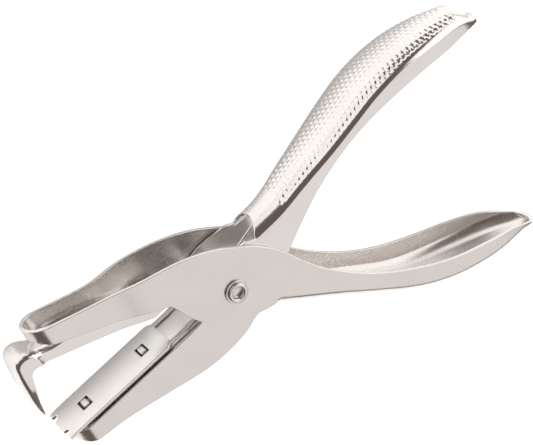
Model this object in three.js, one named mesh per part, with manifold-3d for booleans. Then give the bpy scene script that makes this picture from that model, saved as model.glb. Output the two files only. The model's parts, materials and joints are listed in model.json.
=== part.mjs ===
// Staple remover pliers in nickel-plated sheet steel.
//
// The tool lies on its side: +X runs from the jaws to the handles, +Z along the pivot.
// Everything is drawn round the pivot axis at mid-width; the finished group is then moved
// so that the origin is the middle of the underside of its bounding box.
import * as THREE from 'three';
import { mergeVertices } from 'three/addons/utils/BufferGeometryUtils.js';
import Module from 'manifold-3d';

const wasm = await Module();
wasm.setup();

// ---------------------------------------------------------------- driving dimensions, mm
const SHEET = 1.1; // stamped sheet of the frame and the lever
const GAP = 0.3; // free play between neighbouring pieces

const FRAME_HALF = 8.45; // half width over the frame's side plates at the pivot
const LEVER_HALF = FRAME_HALF - SHEET - GAP; // the lever's walls run inside them
const CARRIER_HALF = LEVER_HALF - SHEET - GAP; // and the lug carrier inside those
const CARRIER_SHEET = 1.0;

const NOSE_HALF = 6.0; // upper jaw, after the plates step inwards
const NOSE_X = -54.9; // front of the upper jaw
const CHEEK_NOSE_X = -59.8; // front of the lower jaw

const HANDLE_CORNER = 4.2; // outer radius between a handle's back and its walls
const UPPER_TIP_X = 104.8;
const LOWER_TIP_X = 93.5;

const PLATE_THICK = 0.9; // lifting plate
const PLATE_HALF = 7.6;
const PLATE_SLOPE = 0.1; // its fall towards the front
const PLATE_LIFT = 1.4; // height of its top face, extended back over the pivot
const PLATE_BACK_X = -23.0;
const PLATE_TIP_RADIUS = 61.7; // reach of its teeth from the pivot

const CLAW_RADIUS = 62.4; // inner face of the claw, an arc round the pivot
const CLAW_HALF = NOSE_HALF - SHEET - GAP;
const CLAW_SHEET = 1.1;
const BLADE_HALF = 5.5; // in front of the nose the strip widens into the blade

const SHANK_R = 2.5; // pivot rivet
const RIVET_BORE_R = 1.5;
const SPRING_WIRE_R = 0.42;
const SPRING_COIL_R = 4.1;

// ---------------------------------------------------------------- solids and booleans
// coordinates are rounded to a micrometre, so that faces meant to be flush are
function toSolid(geometry) {
  const plain = geometry.clone();
  plain.deleteAttribute('normal');
  plain.deleteAttribute('uv');
  const p = plain.attributes.position.array;
  for (let i = 0; i < p.length; i += 1) p[i] = Math.round(p[i] * 1000) / 1000;
  const merged = mergeVertices(plain, 1e-4);
  return new wasm.Manifold(new wasm.Mesh({
    numProp: 3,
    vertProperties: new Float32Array(merged.attributes.position.array),
    triVerts: new Uint32Array(merged.index.array),
  }));
}

function toGeometry(solid) {
  const mesh = solid.getMesh();
  const geometry = new THREE.BufferGeometry();
  geometry.setAttribute('position', new THREE.BufferAttribute(mesh.vertProperties, 3));
  geometry.setIndex(new THREE.BufferAttribute(mesh.triVerts, 1));
  geometry.computeVertexNormals();
  return geometry;
}

const vectors = (list) => list.map(([x, y]) => new THREE.Vector2(x, y));

const extrude = (shape, depth, curveSegments = 10) =>
  new THREE.ExtrudeGeometry(shape, { depth, bevelEnabled: false, curveSegments });

// a side view (x, y) given a width, centred on z = 0
const sidePrism = (shape, half, segments) =>
  toSolid(extrude(shape, 2 * half, segments).translate(0, 0, -half));

// a plan view (x, z), symmetric about z = 0, standing from yLow to yHigh
const planPrism = (shape, yLow, yHigh, segments) =>
  toSolid(extrude(shape, yHigh - yLow, segments).rotateX(-Math.PI / 2).translate(0, yLow, 0));

// a disc or a tube section round an axis parallel to the pivot
const discZ = (radius, zLow, zHigh, segments = 40) =>
  toSolid(new THREE.CylinderGeometry(radius, radius, zHigh - zLow, segments)
    .rotateX(Math.PI / 2).translate(0, 0, (zLow + zHigh) / 2));

const boxSolid = (x, y, z, sx, sy, sz) =>
  toSolid(new THREE.BoxGeometry(sx, sy, sz).translate(x, y, z));

// a piecewise cubic through [x, y] stations, flat beyond its ends
function stations(list) {
  const slope = list.map((p, i) => {
    const a = list[Math.max(0, i - 1)];
    const b = list[Math.min(list.length - 1, i + 1)];
    return (b[1] - a[1]) / (b[0] - a[0]);
  });
  return (x) => {
    if (x <= list[0][0]) return list[0][1];
    const i = list.findIndex((p) => p[0] >= x) - 1;
    if (i < 0) return list[list.length - 1][1];
    const [x0, y0] = list[i];
    const [x1, y1] = list[i + 1];
    const w = x1 - x0;
    const t = (x - x0) / w;
    return y0 * (1 + 2 * t) * (1 - t) ** 2 + y1 * t * t * (3 - 2 * t)
      + w * slope[i] * t * (1 - t) ** 2 - w * slope[i + 1] * t * t * (1 - t);
  };
}

// ---------------------------------------------------------------- handles
// A folded channel whose width, back and open edges follow the handle: `up` is +1 when its
// back is on top and -1 when it is underneath.
function handleChannel({ x0, x1, half, back, edge, up, steps }) {
  const R = HANDLE_CORNER;
  const r = R - SHEET;
  const FAR = 100; // stands for the outer face of a wall
  const DEEP = -50; // stands for the open edge
  const section = new THREE.Shape();
  section.moveTo(-FAR, DEEP);
  section.lineTo(-FAR, -R);
  section.absarc(-FAR + R, -R, R, Math.PI, Math.PI / 2, true);
  section.lineTo(FAR - R, 0);
  section.absarc(FAR - R, -R, R, Math.PI / 2, 0, true);
  section.lineTo(FAR, DEEP);
  section.lineTo(FAR - SHEET, DEEP);
  section.lineTo(FAR - SHEET, -R);
  section.absarc(FAR - R, -R, r, 0, Math.PI / 2, false);
  section.lineTo(-FAR + R, -SHEET);
  section.absarc(-FAR + R, -R, r, Math.PI / 2, Math.PI, false);
  section.lineTo(-FAR + SHEET, DEEP);
  const geometry = new THREE.ExtrudeGeometry(section, {
    depth: 1, steps, bevelEnabled: false, curveSegments: 3,
  });
  const p = geometry.attributes.position;
  const inner = (x) => Math.min(half(x) - SHEET, half(x + SHEET));
  for (let i = 0; i < p.count; i += 1) {
    // stations crowd towards the closed tip
    const t = 1 - (1 - p.getZ(i)) ** 1.5;
    const x = x0 + (x1 - x0) * t;
    const side = Math.sign(p.getX(i));
    const inset = FAR - Math.abs(p.getX(i));
    const drop = -p.getY(i);
    const slope = (back(x + 0.5) - back(x - 0.5));
    const depth = up * (back(x) - edge(x));
    const fit = Math.min(1, (depth - 0.4) / R) * Math.hypot(1, slope);
    const isInner = inset >= SHEET - 1e-6 && drop >= SHEET - 1e-6;
    const seam = GAP / 2 + 0.03 * (R - Math.min(inset, R)); // where the walls close in on each other
    const z = Math.max(isInner ? inner(x) - (inset - SHEET) : half(x) - inset, seam);
    const y = drop > 40 ? edge(x) : back(x) - up * Math.min(drop * fit, depth - 0.2);
    p.setXYZ(i, x, y, -up * side * z);
  }
  return toSolid(geometry);
}

const upperHandle = {
  x0: 11, x1: UPPER_TIP_X, up: 1, steps: 26,
  half: stations([[11, LEVER_HALF], [21, LEVER_HALF], [34, 8.6], [47, 10.1], [60, 10.85], [74, 10.7],
    [87, 9.2], [97, 6.6], [102, 4.2], [UPPER_TIP_X, 1.3]]),
  back: stations([[11, 12.0], [21, 13.4], [31, 17.1], [42, 20.9], [52, 24.5], [61, 27.5], [70, 29.3],
    [79, 29.9], [88, 29.3], [96, 27.7], [101, 25.5], [UPPER_TIP_X, 21.9]]),
  edge: stations([[11, -8.4], [15.5, -5.2], [19.6, -1.4], [26.9, 4.3], [33.8, 9.3], [40.3, 13.1],
    [46.4, 16.0], [53.3, 18.4], [61.4, 20.1], [71, 21.1], [81, 21.2], [90, 20.6], [98, 20.1],
    [UPPER_TIP_X, 19.2]]),
};

const lowerHandle = {
  x0: 9.6, x1: LOWER_TIP_X, up: -1, steps: 26,
  half: stations([[9.6, FRAME_HALF], [24, FRAME_HALF], [34, 9.1], [46, 9.9], [58, 10.8], [68, 10.7],
    [78, 9.5], [85.5, 7.4], [90.5, 5.0], [LOWER_TIP_X, 1.3]]),
  back: stations([[9.6, -15.0], [18, -21.1], [27, -27.6], [36, -34.1], [45, -40.2], [52, -43.9],
    [60, -46.9], [68.7, -49.2], [76, -50.7], [83, -51.8], [89, -53.0], [LOWER_TIP_X, -53.9]]),
  edge: stations([[9.6, 9.6], [12.4, 7.1], [16.9, 1.8], [21.1, -5.5], [24.7, -11.4], [30.3, -17.9],
    [36.3, -23.5], [43, -28.5], [52, -33.7], [62, -38.0], [73, -41.6], [83, -45.2], [90, -49.4],
    [LOWER_TIP_X, -51.3]]),
};

// ---------------------------------------------------------------- frame
// plan of a jaw: the two plates run forward and turn into one another round the nose
function jawPlan(noseX, noseHalf, noseRadius, stepFrom, stepTo, inset) {
  const h = FRAME_HALF - inset;
  const n = noseHalf - inset;
  const r = noseRadius - inset;
  const front = noseX + inset;
  const mid = (stepFrom + stepTo) / 2;
  const shape = new THREE.Shape();
  shape.moveTo(24, -h);
  shape.lineTo(24, h);
  shape.lineTo(stepFrom, h);
  if (noseHalf < FRAME_HALF) shape.bezierCurveTo(mid, h, mid, n, stepTo, n);
  shape.lineTo(front + r, n);
  shape.bezierCurveTo(front + 0.45 * r, n, front, n - 0.55 * r, front, n - r);
  shape.lineTo(front, r - n);
  shape.bezierCurveTo(front, 0.55 * r - n, front + 0.45 * r, -n, front + r, -n);
  shape.lineTo(stepTo, -n);
  if (noseHalf < FRAME_HALF) shape.bezierCurveTo(mid, -n, mid, -h, stepFrom, -h);
  shape.closePath();
  return shape;
}

function frameSide() {
  const s = new THREE.Shape();
  s.moveTo(NOSE_X - 1, 25.0);
  s.splineThru(vectors([[-53.4, 23.7], [-51, 22.1], [-47, 20.4]]));
  s.lineTo(-18, 9.6); // lower edge of the upper jaw
  s.splineThru(vectors([[-16.9, 7.0], [-15.4, 3.0], [-12.9, -1.1]]));
  s.lineTo(-17.8, -1.9); // upper edge of the cheeks
  s.lineTo(-57.5, -5.85);
  s.lineTo(CHEEK_NOSE_X - 1, -6.1);
  s.lineTo(CHEEK_NOSE_X - 1, -7.0);
  s.splineThru(vectors([[-59.2, -9.2], [-56.2, -10.7], [-52, -11.0], [-44.5, -11.3], [-31.4, -13.2],
    [-18.5, -15.0], [-10.5, -14.7], [-3.5, -13.3], [2, -11.0]]));
  s.quadraticCurveTo(4.8, -11.0, lowerHandle.x0, -13.3);
  // the plates reach a little way into the handle's walls, inside their outline
  s.lineTo(lowerHandle.x0, -10.4);
  s.lineTo(lowerHandle.x0 + 4, -12.2);
  s.lineTo(lowerHandle.x0 + 4, 1);
  s.lineTo(lowerHandle.x0, lowerHandle.edge(lowerHandle.x0));
  s.splineThru(vectors([[7.4, 11.2], [2.2, 14.6], [-3.4, 17.3], [-9.5, 19.4], [-15.5, 20.8], [-24, 22.2],
    [-33.3, 23.5], [-41, 25.2], [-48, 26.9], [NOSE_X - 1, 28.6]]));
  s.closePath();
  return s;
}

function frameShell() {
  const split = 9.3; // between the two jaws' plans, inside the full-width stretch
  const plans = (inset, low, high) => planPrism(
    jawPlan(NOSE_X, NOSE_HALF, 5.9, -17, -36, inset), split, high, 7)
    .add(planPrism(jawPlan(CHEEK_NOSE_X, FRAME_HALF, 5.6, -17, -36, inset), low, split, 7));
  return sidePrism(frameSide(), FRAME_HALF + 1, 4)
    .intersect(plans(0, -60, 60))
    .subtract(plans(SHEET, -61, 61))
    .add(handleChannel(lowerHandle))
    .subtract(discZ(SHANK_R + GAP / 2, -20, 20));
}

// ---------------------------------------------------------------- claw
// A stamped arm with two flanges lies between the plates of the upper jaw, comes out under
// the nose and turns down into a pointed blade that follows an arc round the pivot.
function clawSide(inset) {
  const r = CLAW_RADIUS;
  const tip = new THREE.Vector2(-62.9, 1.4 + 4 * inset);
  const s = new THREE.Shape();
  s.moveTo(-15, 12.2 - inset);
  s.splineThru(vectors([[-22, 13.6], [-31.5, 17.2], [-40, 19.8], [-46, 21.0], [-51, 21.4], [-55, 22.6]]
    .map(([x, y]) => [x, y - inset])));
  s.lineTo(-58.6, 24.2 - inset);
  s.quadraticCurveTo(-61.9 + inset / 2, 24.8 - inset, -62.9 + inset, 21.6 - inset);
  s.splineThru(vectors([[-63.7 + inset, 17.0], [-64.1 + inset, 11.0], [-63.7 + inset, 5.0]]));
  s.lineTo(tip.x + inset * 0.5, tip.y);
  const a0 = Math.PI - Math.asin((tip.y + 0.3) / r);
  const a1 = Math.PI - Math.asin(17.3 / r);
  const cut = inset ? 3 : 0; // the hollow runs out past the blade's and the flanges' edges
  s.absarc(0, 0, r - cut, a0, a1, true);
  s.quadraticCurveTo(-58.9 + cut, 19.1 - cut, -56.6 + cut, 18.6 - cut);
  s.lineTo(-25, 8.9 - cut);
  s.quadraticCurveTo(-22.6, 8.2 - cut, -20.6, 9.0 - cut);
  s.lineTo(-15, 9.4 - cut);
  s.closePath();
  return s;
}

function claw() {
  // plan of the arm: it widens with the plates towards the throat
  const plan = (inset) => {
    const h = CLAW_HALF - inset;
    const back = LEVER_HALF - inset;
    const s = new THREE.Shape();
    const blade = BLADE_HALF - inset;
    s.moveTo(-70, -blade);
    s.lineTo(-56.8, -blade);
    s.bezierCurveTo(-55.9, -blade, -55.9, -h, -55, -h);
    s.lineTo(-34, -h);
    s.bezierCurveTo(-25.5, -h, -25.5, -back, -17, -back);
    s.lineTo(-15 + inset, -back);
    s.lineTo(-15 + inset, back);
    s.lineTo(-17, back);
    s.bezierCurveTo(-25.5, back, -25.5, h, -34, h);
    s.lineTo(-55, h);
    s.bezierCurveTo(-55.9, h, -55.9, blade, -56.8, blade);
    s.lineTo(-70, blade);
    s.closePath();
    return s;
  };
  // front view of the blade, in (z, y): parallel at the bend, then tapering to the point
  const taper = (inset) => {
    const h = BLADE_HALF - inset;
    const s = new THREE.Shape();
    s.moveTo(-h, 40);
    s.lineTo(-h, 19);
    s.quadraticCurveTo(-h + 0.5, 14, -0.42, 1.3 + 2.4 * inset);
    s.lineTo(0.42, 1.3 + 2.4 * inset);
    s.quadraticCurveTo(h - 0.5, 14, h, 19);
    s.lineTo(h, 40);
    s.closePath();
    return toSolid(extrude(s, 120, 6).rotateY(-Math.PI / 2).translate(-45, 0, 0));
  };
  const arm = (inset) => boxSolid(-30, 10, 0, 40, 60, 30)
    .add(taper(inset))
    .intersect(planPrism(plan(inset), -20, 40, 5))
    .intersect(sidePrism(clawSide(inset), 12, 6));
  return arm(0).subtract(arm(CLAW_SHEET));
}

// ---------------------------------------------------------------- lever
const plateTop = (x) => PLATE_LIFT + PLATE_SLOPE * x;
const wallTop = (x) => plateTop(x) - PLATE_THICK - GAP;
const LEVER_NOSE_X = CHEEK_NOSE_X + SHEET + 2 * GAP;
const LEVER_NOSE_R = 4.6;

function leverSide() {
  const s = new THREE.Shape();
  s.moveTo(LEVER_NOSE_X - 1, wallTop(LEVER_NOSE_X - 1));
  s.lineTo(-11, wallTop(-11)); // upper edge of the jaw walls
  s.quadraticCurveTo(-9.6, wallTop(-9), -9.2, 1.4);
  // rounded ear over the pivot
  s.splineThru(vectors([[-7.6, 5.2], [-4.6, 8.2], [-0.5, 9.9], [3.5, 10.4], [7.5, 10.0]]));
  s.quadraticCurveTo(9.8, 9.6, upperHandle.x0, 7.2);
  s.lineTo(upperHandle.x0 + 4, 6.5);
  s.lineTo(upperHandle.x0 + 4, -2);
  s.lineTo(upperHandle.x0, upperHandle.edge(upperHandle.x0));
  s.splineThru(vectors([[8, -9.5], [4, -10.2], [-4, -10.9], [-14, -12.3],
    [-24, -12.0], [-40, -9.9], [LEVER_NOSE_X - 1, -7.9]]));
  s.closePath();
  return s;
}

// plan of the lever's jaw walls, closed round a nose of their own
function leverPlan(inset) {
  const h = LEVER_HALF - inset;
  const front = LEVER_NOSE_X + inset;
  const r = LEVER_NOSE_R - inset;
  const s = new THREE.Shape();
  s.moveTo(26, -h);
  s.lineTo(26, h);
  s.lineTo(front + r, h);
  s.absarc(front + r, h - r, r, Math.PI / 2, Math.PI, false);
  s.lineTo(front, r - h);
  s.absarc(front + r, r - h, r, Math.PI, 1.5 * Math.PI, false);
  s.closePath();
  return s;
}

function leverShell() {
  // the back of the handle ends over the pivot in a hollow round cut
  const rootCut = toSolid(new THREE.CylinderGeometry(8.4, 8.4, 9, 48).translate(7.6, 14.6, 0));
  return sidePrism(leverSide(), LEVER_HALF + 1, 4)
    .intersect(planPrism(leverPlan(0), -60, 60, 8))
    .subtract(planPrism(leverPlan(SHEET), -61, 61, 8))
    .add(handleChannel(upperHandle))
    .subtract(rootCut)
    .subtract(discZ(SHANK_R + GAP / 2, -20, 20));
}

// holes of the lifting plate: [centre, length along it, width across it]
const LUG_SEATS = [[-30.3, 2.9, 4.6], [-51.8, 3.4, 4.6]];
const LUG = { length: 1.5, width: 3.3 };

function lugCarrier() {
  const side = new THREE.Shape();
  const x0 = LEVER_NOSE_X + LEVER_NOSE_R; // behind the rounded corners of the lever's nose
  side.moveTo(x0, wallTop(x0));
  side.lineTo(-11.5, wallTop(-11.5));
  side.quadraticCurveTo(-8.4, wallTop(-8), -7.9, 1.2);
  side.absarc(0, 0, 7.9, Math.PI - 0.15, -0.9, true);
  side.lineTo(-11, -8.6);
  side.quadraticCurveTo(-20, -8.4, -30, -7.9);
  side.lineTo(x0, -8.0);
  side.closePath();
  const inside = new THREE.Shape();
  inside.moveTo(-70, wallTop(-70) - CARRIER_SHEET);
  inside.lineTo(-12.6, wallTop(-12.6) - CARRIER_SHEET);
  inside.lineTo(-12.6, 20);
  inside.lineTo(20, 20);
  inside.lineTo(20, -30);
  inside.lineTo(-70, -30);
  inside.closePath();
  let solid = sidePrism(side, CARRIER_HALF, 16)
    .subtract(sidePrism(inside, CARRIER_HALF - CARRIER_SHEET, 8))
    .subtract(discZ(SHANK_R + GAP / 2, -20, 20));
  for (const [x] of LUG_SEATS) {
    const top = plateTop(x) + 0.15;
    const foot = wallTop(x) - CARRIER_SHEET / 2;
    solid = solid.add(boxSolid(x, (top + foot) / 2, 0, LUG.length, top - foot, LUG.width));
  }
  return solid;
}

function liftPlate() {
  const front = -Math.sqrt(PLATE_TIP_RADIUS ** 2 - 5.3 ** 2);
  const corner = 2.4;
  const plan = new THREE.Shape();
  plan.moveTo(PLATE_BACK_X, PLATE_HALF - corner);
  plan.absarc(PLATE_BACK_X - corner, PLATE_HALF - corner, corner, 0, Math.PI / 2, false);
  plan.lineTo(front, PLATE_HALF);
  plan.lineTo(front, 5.7); // corner tooth
  plan.quadraticCurveTo(front + 1.6, 5.4, front + 1.5, 4.5);
  plan.quadraticCurveTo(front + 1.4, 3.5, front - 0.1, 3.1);
  plan.lineTo(front - 0.35, 2.6); // middle tongue
  plan.lineTo(front - 0.35, -2.6);
  plan.lineTo(front - 0.1, -3.1);
  plan.quadraticCurveTo(front + 1.4, -3.5, front + 1.5, -4.5);
  plan.quadraticCurveTo(front + 1.6, -5.4, front, -5.7);
  plan.lineTo(front, -PLATE_HALF);
  plan.lineTo(PLATE_BACK_X - corner, -PLATE_HALF);
  plan.absarc(PLATE_BACK_X - corner, corner - PLATE_HALF, corner, -Math.PI / 2, 0, false);
  plan.closePath();
  // seen from the side it is flat, and droops a little along its front edge
  const droopFrom = -57;
  const droop = 0.55;
  const side = new THREE.Shape();
  side.moveTo(-20, plateTop(-20));
  side.lineTo(droopFrom, plateTop(droopFrom));
  side.quadraticCurveTo(-60, plateTop(-60), -64, plateTop(-64) - droop);
  side.lineTo(-64, plateTop(-64) - droop - PLATE_THICK);
  side.quadraticCurveTo(-60, plateTop(-60) - PLATE_THICK, droopFrom, plateTop(droopFrom) - PLATE_THICK);
  side.lineTo(-20, plateTop(-20) - PLATE_THICK);
  side.closePath();
  let solid = sidePrism(side, PLATE_HALF + 1, 5).intersect(planPrism(plan, -12, 4, 6));
  for (const [x, length, width] of LUG_SEATS) {
    solid = solid.subtract(boxSolid(x, plateTop(x), 0, length, 6, width));
  }
  return solid;
}

// ---------------------------------------------------------------- pivot and spring
const WASHER = { r: 3.6, thick: 0.5, z: FRAME_HALF + 0.15 };

// semi-tubular rivet: flat factory head underneath, rim rolled over on top
function pivotRivet() {
  const headZ = -(WASHER.z + WASHER.thick + 0.15);
  const rimZ = WASHER.z + WASHER.thick + 0.15;
  const points = vectors([[0, headZ - 0.9], [2.9, headZ - 0.9], [3.3, headZ - 0.5], [3.3, headZ],
    [SHANK_R, headZ], [SHANK_R, rimZ]]);
  const rim = new THREE.Path();
  rim.moveTo(2.75, rimZ);
  rim.quadraticCurveTo(3.0, rimZ + 0.55, 2.5, rimZ + 0.75);
  rim.quadraticCurveTo(1.8, rimZ + 0.85, RIVET_BORE_R, rimZ + 0.1);
  points.push(...rim.getPoints(6));
  points.push(new THREE.Vector2(RIVET_BORE_R, -6), new THREE.Vector2(0, -6));
  return toSolid(new THREE.LatheGeometry(points, 32).rotateX(Math.PI / 2));
}

function pivotTube(outer, inner, z0, z1) {
  const profile = vectors([[inner, z0], [outer, z0], [outer, z1], [inner, z1], [inner, z0]]);
  return toSolid(new THREE.LatheGeometry(profile, 32).rotateX(Math.PI / 2));
}

// The legs leave the coil on its tangents: one bears under the back of the lever's handle,
// the other on the floor of the frame's handle.
const SPRING_BEARS = { lever: [17, 10.9], frame: [12.5, -14.9] };

class SpringLine extends THREE.Curve {
  constructor(pitch = 1.35, wholeTurns = 3) {
    super();
    const tangent = ([x, y], sense) => ({
      angle: Math.atan2(y, x) + sense * Math.acos(SPRING_COIL_R / Math.hypot(x, y)),
      length: Math.sqrt(x * x + y * y - SPRING_COIL_R ** 2),
    });
    this.first = tangent(SPRING_BEARS.lever, 1);
    this.last = tangent(SPRING_BEARS.frame, -1);
    this.sweep = 2 * Math.PI * (wholeTurns + 1) + this.last.angle - this.first.angle;
    this.top = (pitch * this.sweep) / (4 * Math.PI);
  }

  getPoint(t, target = new THREE.Vector3()) {
    const s = THREE.MathUtils.clamp((t - 0.12) / 0.76, 0, 1);
    const a = this.first.angle + this.sweep * s;
    const leg = Math.min(0, t / 0.12 - 1) * this.first.length
      + Math.max(0, (t - 0.88) / 0.12) * this.last.length;
    return target.set(
      SPRING_COIL_R * Math.cos(a) - leg * Math.sin(a),
      SPRING_COIL_R * Math.sin(a) + leg * Math.cos(a),
      this.top * (1 - 2 * s),
    );
  }
}

function torsionSpring() {
  const wire = new THREE.Shape().absarc(0, 0, SPRING_WIRE_R, 0, 2 * Math.PI, false);
  return toSolid(new THREE.ExtrudeGeometry(wire, {
    steps: 84, curveSegments: 3, bevelEnabled: false, extrudePath: new SpringLine(),
  }));
}

// ---------------------------------------------------------------- assembly
const steel = (color, roughness) =>
  new THREE.MeshStandardMaterial({ color, roughness, metalness: 1 });
const satin = () => steel(0xd2cdc9, 0.35);
const polished = () => steel(0xdcdad8, 0.15);

const sleeveHalf = CARRIER_HALF - CARRIER_SHEET - GAP;
const pieces = {
  frame_shell: [frameShell(), satin()],
  claw: [claw(), polished()],
  pivot_rivet: [pivotRivet(), satin()],
  rivet_washer_near: [pivotTube(WASHER.r, SHANK_R + 0.2, WASHER.z, WASHER.z + WASHER.thick), satin()],
  rivet_washer_far: [pivotTube(WASHER.r, SHANK_R + 0.2, -WASHER.z - WASHER.thick, -WASHER.z), satin()],
  spacer_sleeve: [pivotTube(3.25, SHANK_R + 0.2, -sleeveHalf, sleeveHalf), satin()],
  torsion_spring: [torsionSpring(), polished()],
  lever_shell: [leverShell(), polished()],
  lug_carrier: [lugCarrier(), polished()],
  lift_plate: [liftPlate(), polished()],
};

const group = new THREE.Group();
for (const [name, [solid, material]] of Object.entries(pieces)) {
  const mesh = new THREE.Mesh(toGeometry(solid), material);
  mesh.name = name;
  group.add(mesh);
}

// the origin is the middle of the underside
const box = new THREE.Box3().setFromObject(group);
const centre = box.getCenter(new THREE.Vector3());
for (const mesh of group.children) mesh.position.set(-centre.x, -centre.y, -box.min.z);

export default group;
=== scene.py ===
"""Looks of the staple remover pliers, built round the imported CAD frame.

Shapes are written in millimetres in the pivot's own frame: the origin is on the pivot axis at
mid-width, +X runs from the jaws to the handles, +Y towards the claw's jaw, +Z along the pivot.
"""

import json
import math

import bpy
import numpy as np
from mathutils import Matrix, Vector
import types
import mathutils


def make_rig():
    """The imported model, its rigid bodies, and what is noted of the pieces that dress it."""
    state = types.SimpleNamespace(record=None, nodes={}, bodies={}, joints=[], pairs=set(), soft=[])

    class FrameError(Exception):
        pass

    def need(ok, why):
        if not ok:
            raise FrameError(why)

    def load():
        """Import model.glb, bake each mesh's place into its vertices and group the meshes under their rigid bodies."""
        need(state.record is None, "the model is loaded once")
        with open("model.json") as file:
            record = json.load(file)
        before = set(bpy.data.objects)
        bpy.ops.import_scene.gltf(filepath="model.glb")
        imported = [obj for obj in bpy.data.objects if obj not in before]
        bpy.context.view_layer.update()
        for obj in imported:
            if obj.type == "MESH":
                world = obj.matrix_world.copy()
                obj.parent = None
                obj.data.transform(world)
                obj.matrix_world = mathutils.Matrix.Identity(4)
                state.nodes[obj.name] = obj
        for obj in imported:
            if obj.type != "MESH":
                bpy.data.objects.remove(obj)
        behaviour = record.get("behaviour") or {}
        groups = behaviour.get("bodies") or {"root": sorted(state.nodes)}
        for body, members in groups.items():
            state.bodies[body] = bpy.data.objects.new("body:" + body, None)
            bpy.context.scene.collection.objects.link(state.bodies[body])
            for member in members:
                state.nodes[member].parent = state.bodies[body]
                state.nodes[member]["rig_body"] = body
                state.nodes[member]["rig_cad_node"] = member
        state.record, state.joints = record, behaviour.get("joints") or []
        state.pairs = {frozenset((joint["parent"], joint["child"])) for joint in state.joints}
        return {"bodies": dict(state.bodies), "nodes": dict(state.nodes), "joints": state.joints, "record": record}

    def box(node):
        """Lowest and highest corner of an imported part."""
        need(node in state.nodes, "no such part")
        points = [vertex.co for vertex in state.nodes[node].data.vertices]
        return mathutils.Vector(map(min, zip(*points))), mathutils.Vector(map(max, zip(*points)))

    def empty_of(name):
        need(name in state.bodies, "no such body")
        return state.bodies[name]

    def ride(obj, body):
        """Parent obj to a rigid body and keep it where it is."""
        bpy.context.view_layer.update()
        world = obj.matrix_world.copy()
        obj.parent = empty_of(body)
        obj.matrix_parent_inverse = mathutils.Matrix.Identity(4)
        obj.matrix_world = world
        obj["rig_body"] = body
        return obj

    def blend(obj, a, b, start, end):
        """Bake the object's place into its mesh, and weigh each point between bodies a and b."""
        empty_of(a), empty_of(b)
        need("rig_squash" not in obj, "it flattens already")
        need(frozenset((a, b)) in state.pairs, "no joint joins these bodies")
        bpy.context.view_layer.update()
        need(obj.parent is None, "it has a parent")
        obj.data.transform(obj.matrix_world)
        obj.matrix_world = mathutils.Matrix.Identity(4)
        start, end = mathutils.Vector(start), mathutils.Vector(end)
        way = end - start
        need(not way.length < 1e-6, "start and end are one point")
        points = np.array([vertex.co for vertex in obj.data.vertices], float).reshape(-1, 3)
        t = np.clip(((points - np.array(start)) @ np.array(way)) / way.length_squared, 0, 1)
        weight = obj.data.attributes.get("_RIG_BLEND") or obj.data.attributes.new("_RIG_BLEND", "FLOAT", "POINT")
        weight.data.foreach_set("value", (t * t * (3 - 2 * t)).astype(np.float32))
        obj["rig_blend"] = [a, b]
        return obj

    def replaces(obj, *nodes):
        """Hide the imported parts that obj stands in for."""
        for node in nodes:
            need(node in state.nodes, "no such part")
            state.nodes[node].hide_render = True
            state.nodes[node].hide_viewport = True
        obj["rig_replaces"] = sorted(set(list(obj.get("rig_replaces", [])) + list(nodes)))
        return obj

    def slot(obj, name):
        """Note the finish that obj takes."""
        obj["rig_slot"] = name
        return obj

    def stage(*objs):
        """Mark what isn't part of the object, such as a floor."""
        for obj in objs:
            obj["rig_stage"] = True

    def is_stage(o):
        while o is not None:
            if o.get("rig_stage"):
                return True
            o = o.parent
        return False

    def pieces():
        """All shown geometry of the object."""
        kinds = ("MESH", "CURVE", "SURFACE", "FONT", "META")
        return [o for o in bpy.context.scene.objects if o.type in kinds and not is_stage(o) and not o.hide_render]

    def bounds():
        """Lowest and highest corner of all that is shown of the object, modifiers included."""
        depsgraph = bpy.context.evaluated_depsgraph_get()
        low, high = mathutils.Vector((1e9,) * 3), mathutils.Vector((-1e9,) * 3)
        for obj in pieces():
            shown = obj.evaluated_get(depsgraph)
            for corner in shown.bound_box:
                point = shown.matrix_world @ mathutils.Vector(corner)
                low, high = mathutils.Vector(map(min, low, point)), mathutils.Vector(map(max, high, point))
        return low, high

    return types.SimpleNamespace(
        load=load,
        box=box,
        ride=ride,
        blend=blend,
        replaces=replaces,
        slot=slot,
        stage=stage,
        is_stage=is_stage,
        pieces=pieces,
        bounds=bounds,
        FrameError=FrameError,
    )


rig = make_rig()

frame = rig.load()
cad_low, cad_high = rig.bounds()

MM = 0.001
sleeve_low, sleeve_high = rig.box("spacer_sleeve")
PIVOT = np.array((sleeve_low + sleeve_high) / 2)

# ------------------------------------------------------------------ dimensions, mm
SHEET = 1.1
GAP = 0.3
FRAME_HALF = 8.45
LEVER_HALF = FRAME_HALF - SHEET - GAP
NOSE_HALF = 6.0
NOSE_X = -54.9
CHEEK_NOSE_X = -59.8
LEVER_NOSE_X = CHEEK_NOSE_X + SHEET + 2 * GAP
HANDLE_CORNER = 4.2
UPPER_TIP_X = 104.8
LOWER_TIP_X = 93.5
CLAW_RADIUS = 62.4
CLAW_HALF = NOSE_HALF - SHEET - GAP
BLADE_HALF = 5.5
PLATE_THICK = 0.9
PLATE_HALF = 7.6
PLATE_TIP_RADIUS = 61.7
RIM = 0.2  # rounding of every sheared edge
KNURL_LONG, KNURL_WIDE = 1.85, 3.3  # the grip's diamonds, along and across the handle
KNURL_DEPTH = 0.3
TIP_ROUND = 2.6  # length over which a handle's end closes, seen from its back
CUT_FADE = 7.0  # length over which the web's front edge evens out
PIVOT_WEB_X = 9.6  # where the lower handle's web ends, under the pivot
EAR_X = 13.0  # the same of the upper handle, over the pivot
WALL_FRONT_X = -11.4  # where the ears end and the lever's jaw walls begin
THROAT = (-12.9, -1.1)  # where the frame's two jaws part


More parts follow.
